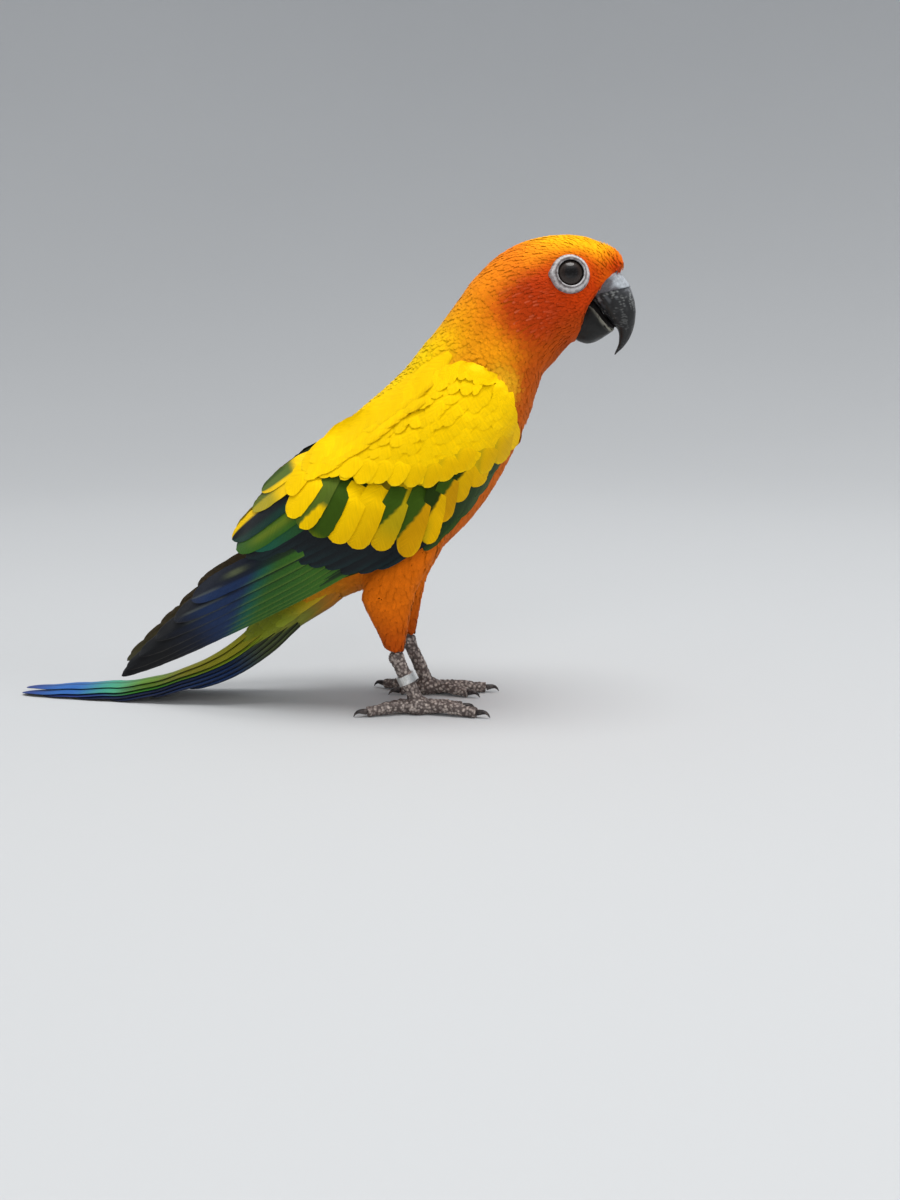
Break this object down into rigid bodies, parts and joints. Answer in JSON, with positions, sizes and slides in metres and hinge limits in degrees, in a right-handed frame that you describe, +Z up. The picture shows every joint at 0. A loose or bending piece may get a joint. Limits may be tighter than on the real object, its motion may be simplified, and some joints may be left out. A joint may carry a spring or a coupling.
{
  "type": "sun conure model",
  "caption": "Life-size still model of a small long-tailed parrot, perched stance on a level floor, wings folded, tail laid behind it, leg band on one leg.",
  "frame": {"origin": "on the floor, below the middle of the bird's whole length, between its two sides", "axes": "+X the way the bird faces, +Y to its left, +Z up"},
  "size_m": [0.2025, 0.054, 0.1505],
  "materials": {
    "body_feathers": "soft orange contour feathers, golden on crown and back, deeper orange on face and belly",
    "wing_feathers": "bright yellow coverts, green and blue-black flight feathers, silky",
    "tail_feathers": "olive green feathers turning blue at the tips, silky",
    "bill_horn": "black horn with grey scuffs, low sheen",
    "bare_skin": "pale grey wrinkled bare skin",
    "eye": "wet glossy dark brown eye with a black pupil",
    "leg_scales": "grey scaly skin with pale scale edges",
    "claw_horn": "dark horn claws",
    "band_metal": "worn light metal leg band, bare"
  },
  "bodies": {
    "root": {"torso": "body_feathers", "neck": "body_feathers", "head": "body_feathers", "thigh_right": "body_feathers", "thigh_left": "body_feathers", "wing_right": "wing_feathers", "wing_left": "wing_feathers", "tail": "tail_feathers", "bill_upper": "bill_horn", "bill_lower": "bill_horn", "cere": "bare_skin", "eye_right": "eye", "eye_left": "eye", "eye_ring_right": "bare_skin", "eye_ring_left": "bare_skin", "tarsus_right": "leg_scales", "tarsus_left": "leg_scales", "foot_right": "leg_scales", "foot_left": "leg_scales", "claw_outer_front_right": "claw_horn", "claw_inner_front_right": "claw_horn", "claw_outer_back_right": "claw_horn", "claw_inner_back_right": "claw_horn", "claw_outer_front_left": "claw_horn", "claw_inner_front_left": "claw_horn", "claw_outer_back_left": "claw_horn", "claw_inner_back_left": "claw_horn", "leg_ring": "band_metal"}
  },
  "joints": []
}
